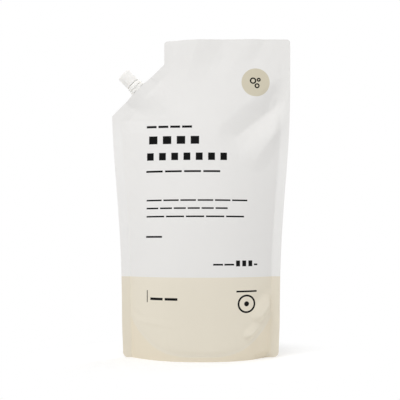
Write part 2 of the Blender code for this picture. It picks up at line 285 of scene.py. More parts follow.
def ripples(x, z, seed, count, shortest, longest):
    """Smooth undulations of about unit height: waves that cross each other at random."""
    draw = np.random.default_rng(seed)
    total = np.zeros_like(x)
    for _ in range(count):
        length = draw.uniform(shortest, longest)
        way = draw.uniform(0, 2 * math.pi)
        phase = draw.uniform(0, 2 * math.pi)
        along = x * math.cos(way) + z * math.sin(way)
        total += np.sin(2 * math.pi * along / length + phase)
    return total / math.sqrt(count)


def fold_depth(x, z, folds):
    """Depth of folds with a rounded line and two straight flanks that may differ in width."""
    total = np.zeros_like(x)
    for start, end, depth, left, right, tail in folds:
        start, end = np.array(start) * MM, np.array(end) * MM
        run_x, run_z = end - start
        off_x, off_z = x - start[0], z - start[1]
        length = math.hypot(run_x, run_z)
        near = np.clip((off_x * run_x + off_z * run_z) / length**2, 0.0, 1.0)
        distance = np.hypot(off_x - near * run_x, off_z - near * run_z)
        aside = (run_x * off_z - run_z * off_x) / length / np.maximum(distance, 1e-9)
        reach = ((left + right) / 2 + (left - right) / 2 * aside) * MM
        rounding = FOLD_ROUND * MM
        tent = np.maximum(1.0 - (np.hypot(distance, rounding) - rounding) / reach, 0.0)
        total += depth * MM * tent**FOLD_FOOT * (1.0 - (1.0 - tail) * near**2)
    return total


# The pouch's form, worked out from the flat blank and from how far it is filled.


class PouchForm:
    """Outline and thickness of the filled pouch, for arrays of x and z."""

    def __init__(self, film, spout):
        self.film = film
        self.spout = spout
        self.half_blank = film.width / 2
        self.low_half = float(self.half_width(np.array(film.cut_low)))
        self.tab_left = self.half_blank - film.tab_width
        self.cut_high = film.cut_low + self.low_half + self.tab_left
        self.shift = (self.low_half - self.half_blank) / 2
        self.axis = Vector((-math.sin(spout.lean), 0, math.cos(spout.lean)))
        self.cut_way = Vector((math.cos(spout.lean), 0, math.sin(spout.lean)))
        cut_start = Vector((-self.low_half, 0, film.cut_low))
        self.spout_point = cut_start + self.cut_way * spout.along_cut

    def height_step(self, shares, z):
        """A smooth step from 0 to 1 between two shares of the pouch's height."""
        low, high = shares
        return smooth_step(low * self.film.height, high * self.film.height, z)

    def half_depth(self, z):
        film = self.film
        left_over = np.maximum(1.0 - (np.maximum(z, 0.0) / film.height) ** FILL_RISE, 0.0)
        flare = film.base_flare * (1.0 - smooth_step(0.0, film.gusset_height, z))
        return film.half_depth * left_over**FILL_TAPER + flare

    def half_width(self, z):
        return self.half_blank - SIDE_PULL * self.half_depth(z) ** 2 / self.film.width

    def side_line(self, z):
        cut = np.minimum(z - self.film.cut_low - self.low_half, self.tab_left)
        return np.where(z <= self.film.cut_low, -self.half_width(z), cut)

    def edges(self, z):
        film = self.film
        rounding = corner_inset(z, film.base_corner)
        rounding += corner_inset(film.height - z, film.top_corner)
        return self.side_line(z) + rounding, self.half_width(z) - rounding

    def seal_lines(self, z):
        """The inner lines of the left and right seal, parallel to the outline."""
        seal = self.film.side_seal
        beside = -self.half_width(z) + seal
        along_cut = z - self.film.cut_low - self.low_half + seal / math.cos(self.spout.lean)
        left = np.minimum(np.maximum(beside, along_cut), self.tab_left + seal)
        return left, self.half_width(z) - seal

    def weld_height(self, share):
        film = self.film
        rise = film.gusset_height - film.skirt_weld
        return film.skirt_weld + rise * np.minimum(np.abs(share), 1.0) ** WELD_CURVE

    def weld_share(self, x, z):
        left, right = self.seal_lines(z)
        return (2 * x - left - right) / (right - left)

    def top_droop(self, x, z):
        film = self.film
        share = np.maximum(film.droop_peak - x, 0.0) / (film.droop_peak - self.tab_left)
        head = smooth_step(self.cut_high, film.height, z)
        return film.top_droop * share**DROOP_CURVE * head

    def spout_bulge(self, x, z):
        spout = self.spout
        off_x, off_z = x - self.spout_point.x, z - self.spout_point.z
        half_length = spout.boat_length / 2 + spout.cover
        across = (off_x * self.cut_way.x + off_z * self.cut_way.z) / half_length
        inside = -(off_x * self.axis.x + off_z * self.axis.z)
        fade = 1.0 - smooth_step(spout.boat_depth, spout.boat_depth + spout.boat_fade, inside)
        return (spout.boat_thick / 2 + spout.cover) * np.maximum(1.0 - across**2, 0.0) * fade

    def half_thickness(self, x, z, folds):
        film = self.film
        share = self.weld_share(x, z)
        power = BELLY_BASE + (BELLY_TOP - BELLY_BASE) * z / film.height
        profile = np.maximum(1.0 - np.abs(share) ** power, 0.0)
        seal_line = film.height - film.top_seal
        seal_fade = 1.0 - smooth_step(seal_line - film.head_fade, seal_line, z)
        lip = film.weld_lip * smooth_step(0.0, film.lip_rise, z - self.weld_height(share))
        foot = 1.0 - smooth_step(*CREASE_FOOT, z)
        edge = CREASE_EDGE + (CREASE_EDGE_FOOT - CREASE_EDGE) * foot
        inward = fold_depth(x, z, folds) * np.minimum(profile * edge, 1.0)
        belly = self.half_depth(z) * profile * seal_fade + lip * profile - inward
        return film.seal_thick / 2 + np.hypot(np.maximum(belly, 0.0), self.spout_bulge(x, z))

    def head_sway(self, x, z):
        """How far the slack head bends forwards and backwards, both panels together."""
        rise = self.height_step(SLACK, z)
        left, right = self.edges(z)
        inside = smooth_step(0.0, HEAD_EDGE, np.minimum(x - left, right - x))
        waves = self.film.sway * ripples(x, z, SWAY_SEED, *SWAY_WAVES)
        return rise * (waves + fold_depth(x, z, HEAD_FOLDS) * inside)

    def crinkles(self, x, z, seed):
        """Fine crinkles, which are taut over the belly and stand out near the seals."""
        share = np.abs(self.weld_share(x, z))
        near_seal = smooth_step(*CRINKLE_SEAL, share) * (share < 1.0)
        most = np.maximum(near_seal, self.height_step(CRINKLED, z))
        weight = CRINKLE_BASE + (1.0 - CRINKLE_BASE) * most
        return self.film.crinkle * weight * ripples(x, z, seed, *CRINKLE_WAVES)


def corner_inset(distance, radius):
    """How far a rounded corner stands in from its side, at a distance from its end."""
    short = np.maximum(radius - distance, 0.0)
    return radius - np.sqrt(np.maximum(radius**2 - short**2, 0.0))


# The film pouch as one closed mesh.

ROW_STEP = 0.00115
SEAL_COLUMNS = 6
BELLY_COLUMNS = 118
CORNER_STEPS = 5
SKIRT_ROWS = 7
ROOF_ROWS = 15
SHARP_ANGLE = math.radians(40)
# Width over which the looks of the seals blend in, how far above the foot's weld the painted
# highlight line lies, where it ends beside the seals, and the heights over which the seals' look,
# with its painted lightening, fades.
SEAM = 0.0006
WELD_LINE = 0.0012
WELD_END = 0.006
SEAL_FADE = (0.185, 0.235)


def row_heights(form):
    """Heights of the pouch's rows, with rows on the corners of its outline."""
    film = form.film
    heights = set()
    for step in range(CORNER_STEPS + 1):
        share = 1.0 - math.cos(math.pi / 2 * step / CORNER_STEPS)
        heights.update((film.base_corner * share, film.height - film.top_corner * share))
    knots = [film.base_corner, film.cut_low, form.cut_high, film.height - film.top_corner]
    for low, high in zip(knots, knots[1:]):
        count = math.ceil((high - low) / ROW_STEP)
        heights.update(low + (high - low) * i / count for i in range(count + 1))
    return np.array(sorted(heights))


def panel_columns(form, heights):
    """x of every point: one row for each height, closer together inside the seals."""
    left, right = form.edges(heights)
    seal_left, seal_right = form.seal_lines(heights)
    seal_left = np.maximum(seal_left, left + MM)
    seal_right = np.minimum(seal_right, right - MM)
    seal_share = np.linspace(0, 1, SEAL_COLUMNS + 1)
    belly_share = np.linspace(0, 1, BELLY_COLUMNS + 1)
    parts = (
        left[:, None] + (seal_left - left)[:, None] * seal_share[:-1],
        seal_left[:, None] + (seal_right - seal_left)[:, None] * belly_share,
        seal_right[:, None] + (right - seal_right)[:, None] * seal_share[1:],
    )
    return np.concatenate(parts, axis=1)


def panel(form, x, z, side):
    """One panel's outside: side is -1 at the front and 1 at the back."""
    folds, seed = (FRONT_FOLDS, FRONT_SEED) if side < 0 else (BACK_FOLDS, BACK_SEED)
    depth = form.half_thickness(x, z, folds)
    clear_of_seal = smooth_step(0.0, 2 * MM, depth - form.film.seal_thick / 2)
    depth = depth + form.crinkles(x, z, seed) * clear_of_seal
    y = side * depth + form.head_sway(x, z)
    return np.stack([x + form.shift, y, z - form.top_droop(x, z)], axis=-1)


def pocket_strip(form, front, back, z):
    """Points from the front panel's left edge to the back one's, around the spout's boat."""
    film, spout = form.film, form.spout
    middle = (front[:, 1] + back[:, 1]) / 2
    half = (back[:, 1] - front[:, 1]) / 2
    inner = np.maximum(half - film.sheet_thick, half * POCKET_SHARE)
    off_x = front[:, 0] - form.shift - form.spout_point.x
    off_z = z - form.spout_point.z
    across = np.abs(off_x * form.cut_way.x + off_z * form.cut_way.z)
    beside_boat = across < spout.boat_length / 2 + film.sheet_thick
    depth = np.where(beside_boat, spout.boat_depth + film.sheet_thick, 0)
    strip = []
    for side, deep in ((-1, 0), (-1, 1), (1, 1), (1, 0)):
        point = front.copy()
        point[:, 0] -= form.axis.x * depth * deep
        point[:, 1] = middle + side * inner
        point[:, 2] -= form.axis.z * depth * deep
        strip.append(point)
    return np.stack(strip, axis=1)


def gusset_strip(form, x):
    """Points across the underside at each x: up the front skirt, over the gusset and down."""
    film = form.film
    zeros = np.zeros_like(x)
    share = form.weld_share(x, zeros)
    weld = np.where(np.abs(share) < FLOOR_EDGE, form.weld_height(share), 0.0)
    ridge = smooth_step(FLAT_SHARE, 1.0, np.abs(share)) * film.gusset_height
    ridge = np.where(np.abs(share) < FLOOR_EDGE, ridge, 0.0)

    def inner(z, side):
        wall = form.half_thickness(x, z, FRONT_FOLDS if side < 0 else BACK_FOLDS)
        return side * np.maximum(wall - film.seal_thick, wall * HOLLOW_SHARE)

    def points_at(y, z):
        return np.stack([x + form.shift, y, z], axis=-1)

    def skirt(side):
        heights = [weld * row / (SKIRT_ROWS - 1) for row in range(SKIRT_ROWS)]
        return [points_at(inner(z, side), z) for z in heights]

    roof = []
    front_y, back_y = inner(weld, -1), inner(weld, 1)
    for row in range(1, ROOF_ROWS):
        across = 2 * row / ROOF_ROWS - 1
        rise = across * across
        z = weld * rise**2 + ridge * (1 - rise)
        roof.append(points_at(front_y + (back_y - front_y) * row / ROOF_ROWS, z))
    return np.stack([*skirt(-1), *roof, *reversed(skirt(1))], axis=1)


def grid_faces(index):
    """The quads between the rows and columns of an array of vertex numbers."""
    low, high = index[:-1], index[1:]
    return np.stack([low[:, :-1], low[:, 1:], high[:, 1:], high[:, :-1]], axis=-1).reshape(-1, 4)


def film_mesh(form):
    """The closed film, with attributes that mark its side seals, its skirts, and a line just above
    the skirts' weld where the material paints a highlight.
    """
    film = form.film
    heights = row_heights(form)
    x = panel_columns(form, heights)
    z = np.repeat(heights[:, None], x.shape[1], axis=1)
    front = panel(form, x, z, -1)
    back = panel(form, x, z, 1)
    pocket = pocket_strip(form, front[1:-1, 0], back[1:-1, 0], heights[1:-1])
    gusset = gusset_strip(form, x[0, 1:-1])

    blocks = [front, back, pocket, gusset]
    starts = np.cumsum([0] + [block.shape[0] * block.shape[1] for block in blocks])
    numbers = [
        start + np.arange(block.shape[0] * block.shape[1]).reshape(block.shape[:2])
        for start, block in zip(starts, blocks)
    ]
    front_n, back_n, pocket_n, gusset_n = numbers
    left = np.concatenate([front_n[1:-1, :1], pocket_n, back_n[1:-1, :1]], axis=1)
    base = np.concatenate([front_n[0, 1:-1, None], gusset_n, back_n[0, 1:-1, None]], axis=1)
    right = np.stack([front_n[:, -1], back_n[:, -1]], axis=1)
    top = np.stack([front_n[-1], back_n[-1]], axis=1)
    grids = (front_n, back_n, left, base, right, top)
    faces = [list(face) for grid in grids for face in grid_faces(grid)]
    ends = ((left[0], (0, 0)), (left[-1], (-1, 0)), (base[0], (0, 0)), (base[-1], (0, -1)))
    for row, corner in ends:
        faces.append([front_n[corner], *row, back_n[corner]])

    points = np.concatenate([block.reshape(-1, 3) for block in blocks])
    mesh = bpy.data.meshes.new("film_pouch")
    mesh.from_pydata(points.tolist(), [], [[int(n) for n in face] for face in faces])
    shape = bmesh.new()
    shape.from_mesh(mesh)
    bmesh.ops.recalc_face_normals(shape, faces=shape.faces)
    shape.to_mesh(mesh)
    shape.free()

    seal_left, seal_right = form.seal_lines(z)
    beside = np.minimum(x - seal_left, seal_right - x)
    above = z - form.weld_height(form.weld_share(x, z))
    weld_highlight = np.exp(-(((above - WELD_LINE) / WELD_LINE) ** 2))
    marks = {
        # seal: the side seals, which the material polishes and lightens with painted light.
        "seal": smooth_step(-SEAM, SEAM, -beside) * (1.0 - smooth_step(*SEAL_FADE, z)),
        "skirt": smooth_step(-SEAM, SEAM, -above) * smooth_step(-SEAM, SEAM, beside),
        # weld: a painted highlight line just above the foot's weld, faded out beside the seals.
        "weld": weld_highlight * smooth_step(0.0, WELD_END, beside),
    }
    for name, mark in marks.items():
        values = np.zeros(len(points), np.float32)
        values[front_n.ravel()] = mark.ravel()
        values[back_n.ravel()] = mark.ravel()
        attribute = mesh.attributes.new(name, "FLOAT", "POINT")
        attribute.data.foreach_set("value", values)
    return mesh


# Turned and flat shapes of the spout and the cap.

TURN_STEPS = 144
THREAD_ROW = 0.00025
ROUND_STEPS = 5
FLANGE_ROUND = 0.0004
LOWER_FLANGE = {"base": 0.0003, "thick": 0.0026, "long": 0.0150, "wide": 0.0116}
UPPER_FLANGE = {"base": 0.0034, "thick": 0.0030, "radius": 0.0070}
COLLAR = {"radius": 0.0060, "top": 0.0069}
THREAD_START = 0.0085
THREAD_TURNS = 2.5
THREAD_RUN_IN = 0.15
THREAD_FLANK = 2.0
CAP_THREAD_START = 0.0096
CAP_THREAD_SHARE = 0.75
CAP_ROUND = 0.3 * MM
MOUTH_CLEARANCE = 0.0003
OUTLINE_STEPS = 16
# The grip: its margin above the cap's edge and below its top edge, the step to the plain band
# under it, the length of a rib's lower and upper end, where a rib rises and falls within its
# share of the turn, and the steps for each rib.
GRIP_MARGIN = 0.0014
GRIP_TOP = 0.2 * MM
BAND_STEP = 0.3 * MM
RIB_LOW_END = 0.4 * MM
RIB_HIGH_END = 0.5 * MM
RIB_RISE = (0.05, 0.30)
RIB_FALL = (0.60, 0.85)
RIB_STEPS = 8


def rounded(centre_radius, centre_height, radius, start, end):
    """Points (radius, height) on an arc between two angles in degrees."""
    points = []
    for step in range(ROUND_STEPS + 1):
        angle = math.radians(start + (end - start) * step / ROUND_STEPS)
        out, up = radius * math.cos(angle), radius * math.sin(angle)
        points.append((centre_radius + out, centre_height + up))
    return points


def straight(radius, high, low):
    """Points down a straight wall, close enough for a thread."""
    count = max(math.ceil(abs(high - low) / THREAD_ROW), 1)
    return [(radius, high + (low - high) * i / count) for i in range(1, count)]


def turned_mesh(name, profile, steps, swell):
    """A turned shape about Z from (radius, height) points in a closed loop, or from pole to
    pole. swell gives what is added to a point's radius from its place in the profile, its
    height and its angle."""
    shape = bmesh.new()
    angles = [2 * math.pi * step / steps for step in range(steps)]
    rings = []
    for index, (radius, height) in enumerate(profile):
        if radius == 0:
            rings.append([shape.verts.new((0, 0, height))])
            continue
        ring = []
        for angle in angles:
            wide = radius + swell(index, height, angle)
            ring.append(shape.verts.new((wide * math.cos(angle), wide * math.sin(angle), height)))
        rings.append(ring)
    pairs = list(zip(rings, rings[1:]))
    if profile[0][0] > 0:
        pairs.append((rings[-1], rings[0]))
    for one, other in pairs:
        for i in range(steps):
            j = (i + 1) % steps
            corners = [one[i % len(one)], one[j % len(one)]]
            corners += [other[j % len(other)], other[i % len(other)]]
            shape.faces.new(list(dict.fromkeys(corners)))
    bmesh.ops.recalc_face_normals(shape, faces=shape.faces)
    mesh = bpy.data.meshes.new(name)
    shape.to_mesh(mesh)
    shape.free()
    return mesh


def thread_rise(height, angle, start, pitch):
    """How far a thread stands out at this height and angle, from 0 to 1."""
    turn = angle / (2 * math.pi)
    best = 0.0
    for whole in range(math.ceil(THREAD_TURNS) + 1):
        along = whole + turn
        if along > THREAD_TURNS:
            break
        run_in = min(along / THREAD_RUN_IN, (THREAD_TURNS - along) / THREAD_RUN_IN, 1.0)
        off = abs(height - start - pitch * along) / (pitch / 4)
        best = max(best, min(max(THREAD_FLANK * (1.0 - off), 0.0), 1.0) * run_in)
    return best


def plate_mesh(outlines, base, thickness, rounding):
    """A flat plate with rounded edges across the axis, from its outline and its holes."""
    curve = bpy.data.curves.new("plate", "CURVE")
    curve.dimensions = "2D"
    curve.fill_mode = "BOTH"
    curve.extrude = thickness / 2 - rounding
    curve.bevel_depth = rounding
    curve.bevel_resolution = 2
    curve.offset = -rounding
    for outline in outlines:
        spline = curve.splines.new("POLY")
        spline.points.add(len(outline) - 1)
        spline.use_cyclic_u = True
        for point, (x, y) in zip(spline.points, outline):
            point.co = (x, y, 0, 1)
    drawn = bpy.data.objects.new("plate", curve)
    bpy.context.scene.collection.objects.link(drawn)
    bpy.context.view_layer.update()
    graph = bpy.context.evaluated_depsgraph_get()
    mesh = bpy.data.meshes.new_from_object(drawn.evaluated_get(graph))
    mesh.transform(Matrix.Translation((0, 0, base + thickness / 2)))
    bpy.data.objects.remove(drawn)
    bpy.data.curves.remove(curve)
    return mesh


def joined_mesh(name, meshes):
    """One mesh of several shapes, each welded at its own caps."""
    shape = bmesh.new()
    for mesh in meshes:
        part = bmesh.new()
        part.from_mesh(mesh)
        bmesh.ops.remove_doubles(part, verts=part.verts, dist=0.01 * MM)
        bmesh.ops.recalc_face_normals(part, faces=part.faces)
        part.to_mesh(mesh)
        part.free()
        shape.from_mesh(mesh)
        bpy.data.meshes.remove(mesh)
    made = bpy.data.meshes.new(name)
    shape.to_mesh(made)
    shape.free()
    return made


def circle_outline(radius):
    angles = [2 * math.pi * step / TURN_STEPS for step in range(TURN_STEPS)]
    return [(radius * math.cos(angle), radius * math.sin(angle)) for angle in angles]


def boat_outline(spout):
    """The boat seen along the spout's axis: two shallow arcs that meet in points."""
    length, thick = spout.boat_length / 2, spout.boat_thick / 2
    points = []
    for side in (-1, 1):
        for step in range(OUTLINE_STEPS):
            x = -side * length * math.cos(math.pi * step / OUTLINE_STEPS)
            points.append((-x, side * thick * (1 - (x / length) ** 2)))
    return points


def rounded_rectangle(length, width):
    """An outline with half-round ends, its length along X."""
    points = []
    for end in (1, -1):
        for step in range(OUTLINE_STEPS + 1):
            angle = end * math.pi / 2 - end * math.pi * step / OUTLINE_STEPS
            x = end * (length - width) / 2 + end * width / 2 * math.cos(angle)
            points.append((x, width / 2 * math.sin(angle)))
    return points


def neck_mesh(spout):
    """The neck with its thread, its collar, its round flange and its bore."""
    lip = FLANGE_ROUND
    collar, collar_top = COLLAR["radius"], COLLAR["top"]
    top, neck, bore = spout.mouth_height, spout.neck_radius, spout.bore_radius
    flange_low, flange = UPPER_FLANGE["base"], UPPER_FLANGE["radius"]
    flange_high = flange_low + UPPER_FLANGE["thick"]
    profile = rounded(bore + lip, top - lip, lip, 180, 90)
    profile += rounded(neck - lip, top - lip, lip, 90, 0)
    thread_from = len(profile)
    profile += straight(neck, top - lip, collar_top)
    thread_to = len(profile)
    profile += [(neck, collar_top), (collar, collar_top), (collar, flange_high)]
    profile += rounded(flange - lip, flange_high - lip, lip, 90, 0)
    profile += rounded(flange - lip, flange_low + lip, lip, 0, -90)
    profile += [(collar, flange_low), (collar, 0), (neck, 0)]
    profile += [(neck, -spout.boat_depth), (bore, -spout.boat_depth)]

    def swell(index, height, angle):
        if not thread_from <= index < thread_to:
            return 0.0
        return spout.thread_height * thread_rise(height, angle, THREAD_START, spout.thread_pitch)

    return turned_mesh("neck", profile, TURN_STEPS, swell)


def cap_mesh(cap, spout):
    """The cap's shell: ribbed grip, rounded top, and a thread inside."""
    inner_top = spout.mouth_height + MOUTH_CLEARANCE
    top = inner_top + cap.top_thick
    inner = cap.radius - cap.wall
    low = cap.base + CAP_ROUND
    profile = [(0, top), (cap.radius / 2, top)]
    profile += rounded(cap.radius - cap.edge, top - cap.edge, cap.edge, 90, 0)
    grip_from = len(profile)
    profile += straight(cap.radius, top - cap.edge, low)
    grip_to = len(profile)
    profile += rounded(cap.radius - CAP_ROUND, low, CAP_ROUND, 0, -90)
    profile += rounded(inner + CAP_ROUND, low, CAP_ROUND, -90, -180)
    thread_from = len(profile)
    profile += straight(inner, low, inner_top)
    thread_to = len(profile)
    profile += [(inner, inner_top), (0, inner_top)]
    grip_low, grip_high = cap.base + GRIP_MARGIN, top - cap.edge - GRIP_TOP

    def swell(index, height, angle):
        if grip_from <= index < grip_to:
            phase = (angle * cap.ribs / (2 * math.pi)) % 1.0
            rib = smooth_step(*RIB_RISE, phase) - smooth_step(*RIB_FALL, phase)
            ends = smooth_step(grip_low, grip_low + RIB_LOW_END, height)
            ends *= 1.0 - smooth_step(grip_high - RIB_HIGH_END, grip_high, height)
            band = 1.0 - smooth_step(grip_low - BAND_STEP, grip_low, height)
            return cap.rib_height * float(max(rib * ends, band))
        if thread_from <= index < thread_to:
            rise = thread_rise(height, angle, CAP_THREAD_START, spout.thread_pitch)
            return -CAP_THREAD_SHARE * spout.thread_height * rise
        return 0.0

    return turned_mesh("screw_cap", profile, cap.ribs * RIB_STEPS, swell)


# Materials.

FLOAT, VECTOR = "NodeSocketFloat", "NodeSocketVector"
BAR_SOCKETS = ("Left", "Right", "Foot", "Height", "Pitch", "Share")
RING_SOCKETS = ("Centre Across", "Centre Up", "Radius", "Line")
FILM_MOTTLE = {"Cloud Scale": 22.0, "Grain Scale": 900.0, "Depth": 0.03}
PLASTIC_MOTTLE = {"Cloud Scale": 160.0, "Grain Scale": 2600.0, "Depth": 0.05}
# How much of the mottle's tone goes into the roughness.
DULLING = 3.0
FILM_GLOSS = 0.08
FILM_ROUGHNESS = 0.50
SEAL_POLISH = 0.05
# Share of the painted highlight, in the seals' lit colour, along the line just above the foot's
# weld.
WELD_HIGHLIGHT = 0.09
# The embossed lines of the seals: pitch in millimetres, and share of the relief.
EMBOSS_PITCH = 1.3
EMBOSS_SHARE = 0.25
SPOUT_ROUGHNESS = 0.38
CAP_ROUGHNESS = 0.34
# Height and strength of the fine relief.
FILM_RELIEF = (0.02 * MM, 0.5)
PLASTIC_RELIEF = (0.01 * MM, 0.6)


class Wiring:
    """Adds nodes to one tree and links them. A value is a number, a colour or a socket."""

    def __init__(self, tree):
        self.tree = tree

    def add(self, kind, **settings):
        node = self.tree.nodes.new(kind)
        for name, value in settings.items():
            setattr(node, name, value)
        return node

    def feed(self, socket, value):
        if isinstance(value, bpy.types.NodeSocket):
            self.tree.links.new(value, socket)
        else:
            socket.default_value = value

    def math(self, operation, *values, clamp=False):
        node = self.add("ShaderNodeMath", operation=operation, use_clamp=clamp)
        for socket, value in zip(node.inputs, values):
            self.feed(socket, value)
        return node.outputs[0]

    def plus(self, one, other, clamp=False):
        return self.math("ADD", one, other, clamp=clamp)

    def minus(self, one, other):
        return self.math("SUBTRACT", one, other)

    def times(self, one, other):
        return self.math("MULTIPLY", one, other)

    def least(self, *values):
        result = values[0]
        for value in values[1:]:
            result = self.math("MINIMUM", result, value)
        return result

    def step(self, value, low, high):
        node = self.add("ShaderNodeMapRange", interpolation_type="SMOOTHSTEP")
        for socket, number in zip(node.inputs, (value, low, high, 0.0, 1.0)):
            self.feed(socket, number)
        return node.outputs[0]

    def blend(self, share, one, other, kind="MIX"):
        node = self.add("ShaderNodeMix", data_type="RGBA", blend_type=kind)
        self.feed(node.inputs["Factor"], share)
        self.feed(node.inputs[6], one)
        self.feed(node.inputs[7], other)
        return node.outputs[2]

    def noise(self, vector, scale, detail=2.0, roughness=0.5):
        node = self.add("ShaderNodeTexNoise")
        self.feed(node.inputs["Vector"], vector)
        self.feed(node.inputs["Scale"], scale)
        self.feed(node.inputs["Detail"], detail)
        self.feed(node.inputs["Roughness"], roughness)
        return node.outputs["Fac"]

    def place(self, group, values):
        node = self.add("ShaderNodeGroup", node_tree=group)
        for name, value in values.items():
            self.feed(node.inputs[name], value)
        return node.outputs


def new_group(name, inputs, outputs):
    """An empty shader group with its sockets, and the wiring and ends of its tree."""
    group = bpy.data.node_groups.new(name, "ShaderNodeTree")
    for socket, kind in inputs:
        group.interface.new_socket(socket, in_out="INPUT", socket_type=kind)
    for socket, kind in outputs:
        group.interface.new_socket(socket, in_out="OUTPUT", socket_type=kind)
    wiring = Wiring(group)
    return group, wiring, wiring.add("NodeGroupInput").outputs, wiring.add("NodeGroupOutput").inputs


def new_print_group(name, sockets):
    names = ("Across", "Up", *sockets, "Edge")
    return new_group(name, [(socket, FLOAT) for socket in names], [("Mask", FLOAT)])


def print_bar_group():
    """A row of inked cells between Left and Right, in the units of Across and Up."""
    group, w, given, result = new_print_group("print_bar", BAR_SOCKETS)
    from_left = w.minus(given["Across"], given["Left"])
    to_right = w.minus(given["Right"], given["Across"])
    from_foot = w.minus(given["Up"], given["Foot"])
    to_top = w.minus(given["Height"], from_foot)
    phase = w.math("FRACT", w.math("DIVIDE", from_left, given["Pitch"]))
    in_cell = w.times(w.minus(given["Share"], phase), given["Pitch"])
    nearest = w.least(from_left, to_right, from_foot, to_top, in_cell)
    share = w.math("DIVIDE", nearest, given["Edge"])
    w.feed(result["Mask"], w.plus(share, 0.5, clamp=True))
    return group


def print_ring_group():
    """A ring about a centre. A ring whose line is twice its radius is a disc."""
    group, w, given, result = new_print_group("print_ring", RING_SOCKETS)
    across = w.minus(given["Across"], given["Centre Across"])
    up = w.minus(given["Up"], given["Centre Up"])
    squares = w.plus(w.times(across, across), w.times(up, up))
    off_line = w.math("ABSOLUTE", w.minus(w.math("SQRT", squares), given["Radius"]))
    inside = w.minus(w.times(given["Line"], 0.5), off_line)
    share = w.math("DIVIDE", inside, given["Edge"])
    w.feed(result["Mask"], w.plus(share, 0.5, clamp=True))
    return group


def mottle_group():
    """Slight unevenness of a moulded or laminated surface: a tone near 1 and a fine relief."""
    group, w, given, result = new_group(
        "surface_mottle",
        [("Place", VECTOR), ("Cloud Scale", FLOAT), ("Grain Scale", FLOAT), ("Depth", FLOAT)],
        [("Tone", FLOAT), ("Relief", FLOAT)],
    )
    cloud = w.noise(given["Place"], given["Cloud Scale"])
    grain = w.noise(given["Place"], given["Grain Scale"], 3.0, 0.6)
    both = w.plus(w.times(cloud, 0.7), w.times(grain, 0.3))
    spread = w.times(w.minus(both, 0.5), given["Depth"])
    w.feed(result["Tone"], w.plus(spread, 1.0))
    w.feed(result["Relief"], grain)
    return group


def shared_group(name, build):
    return bpy.data.node_groups.get(name) or build()


def new_material(name):
    made = bpy.data.materials.new(name)
    made.use_nodes = True
    wiring = Wiring(made.node_tree)
    return made, wiring, made.node_tree.nodes["Principled BSDF"].inputs


def add_relief(w, shader, height, distance, strength):
    bump = w.add("ShaderNodeBump")
    bump.inputs["Strength"].default_value = strength
    bump.inputs["Distance"].default_value = distance
    w.feed(bump.inputs["Height"], height)
    w.feed(shader["Normal"], bump.outputs["Normal"])


def toned(w, color, tone):
    """A colour times a tone that varies about 1."""
    return w.blend(1.0, color, tone, "MULTIPLY")


def mottled(w, values):
    """The place on the object, the tone and relief of its mottle, and the tone's dulling."""
    place = w.add("ShaderNodeTexCoord").outputs["Object"]
    group = shared_group("surface_mottle", mottle_group)
    mottle = w.place(group, {"Place": place, **values})
    dulled = w.times(w.minus(mottle["Tone"], 1.0), DULLING)
    return place, mottle["Tone"], mottle["Relief"], dulled


def print_masks(w, across, up, film):
    """Masks of the ink and of the disc on the front panel."""
    bars = shared_group("print_bar", print_bar_group)
    rings = shared_group("print_ring", print_ring_group)
    placed = {"Across": across, "Up": up, "Edge": PRINT_EDGE}

    def mask(group, sockets, numbers):
        return w.place(group, {**placed, **dict(zip(sockets, numbers))})["Mask"]

    marks = [mask(bars, BAR_SOCKETS, numbers) for numbers in PRINT_BARS]
    marks += [mask(rings, RING_SOCKETS, numbers) for numbers in PRINT_RINGS]
    ink = 0.0
    for mark in marks:
        ink = w.math("MAXIMUM", ink, mark)
    radius = film.disc_radius / MM
    return ink, mask(rings, RING_SOCKETS, (*DISC_CENTRE, radius / 2, radius))


def film_material(film):
    """Matt printed laminate: white above, tinted at the foot, with welded edges lightened by
    painted light, a painted highlight just above the foot's weld, and print.
    """
    made, w, shader = new_material("matt_laminate")
    shader["Specular IOR Level"].default_value = FILM_GLOSS
    place, tone, grain, dulled = mottled(w, FILM_MOTTLE)
    parts = w.add("ShaderNodeSeparateXYZ")
    w.feed(parts.inputs[0], place)
    across = w.math("DIVIDE", parts.outputs["X"], MM)
    up = w.math("DIVIDE", parts.outputs["Z"], MM)
    # weld is the mask of the painted highlight line just above the foot's weld.
    seal, skirt, weld = (
        w.add("ShaderNodeAttribute", attribute_name=name).outputs["Fac"]
        for name in ("seal", "skirt", "weld")
    )
    front = w.math("LESS_THAN", parts.outputs["Y"], 0.0)
    ink, disc = print_masks(w, across, up, film)
    band_top = film.band_height / MM
    above_band = w.step(up, band_top - PRINT_EDGE, band_top + PRINT_EDGE)

    # The seals are lightened with painted light, as if lit through the thin welded film.
    white = w.blend(seal, (*film.color, 1), (*film.lit_seal_color, 1))
    tint = w.blend(skirt, (*film.band_color, 1), (*film.skirt_color, 1))
    # A painted highlight along the line just above the foot's weld.
    tint = w.blend(w.times(weld, WELD_HIGHLIGHT), tint, (*film.lit_seal_color, 1))
    color = w.blend(above_band, tint, white)
    color = w.blend(w.times(disc, front), color, (*film.disc_color, 1))
    inked = w.times(ink, front)
    color = w.blend(inked, toned(w, color, tone), (*film.ink_color, 1))
    w.feed(shader["Base Color"], color)
    rough = w.plus(w.times(seal, -SEAL_POLISH), FILM_ROUGHNESS)
    w.feed(shader["Roughness"], w.plus(rough, dulled))
    weld_lines = w.math("SINE", w.times(up, 2 * math.pi / EMBOSS_PITCH))
    embossed = w.times(w.times(weld_lines, seal), EMBOSS_SHARE)
    add_relief(w, shader, w.plus(grain, embossed), *FILM_RELIEF)
    return made


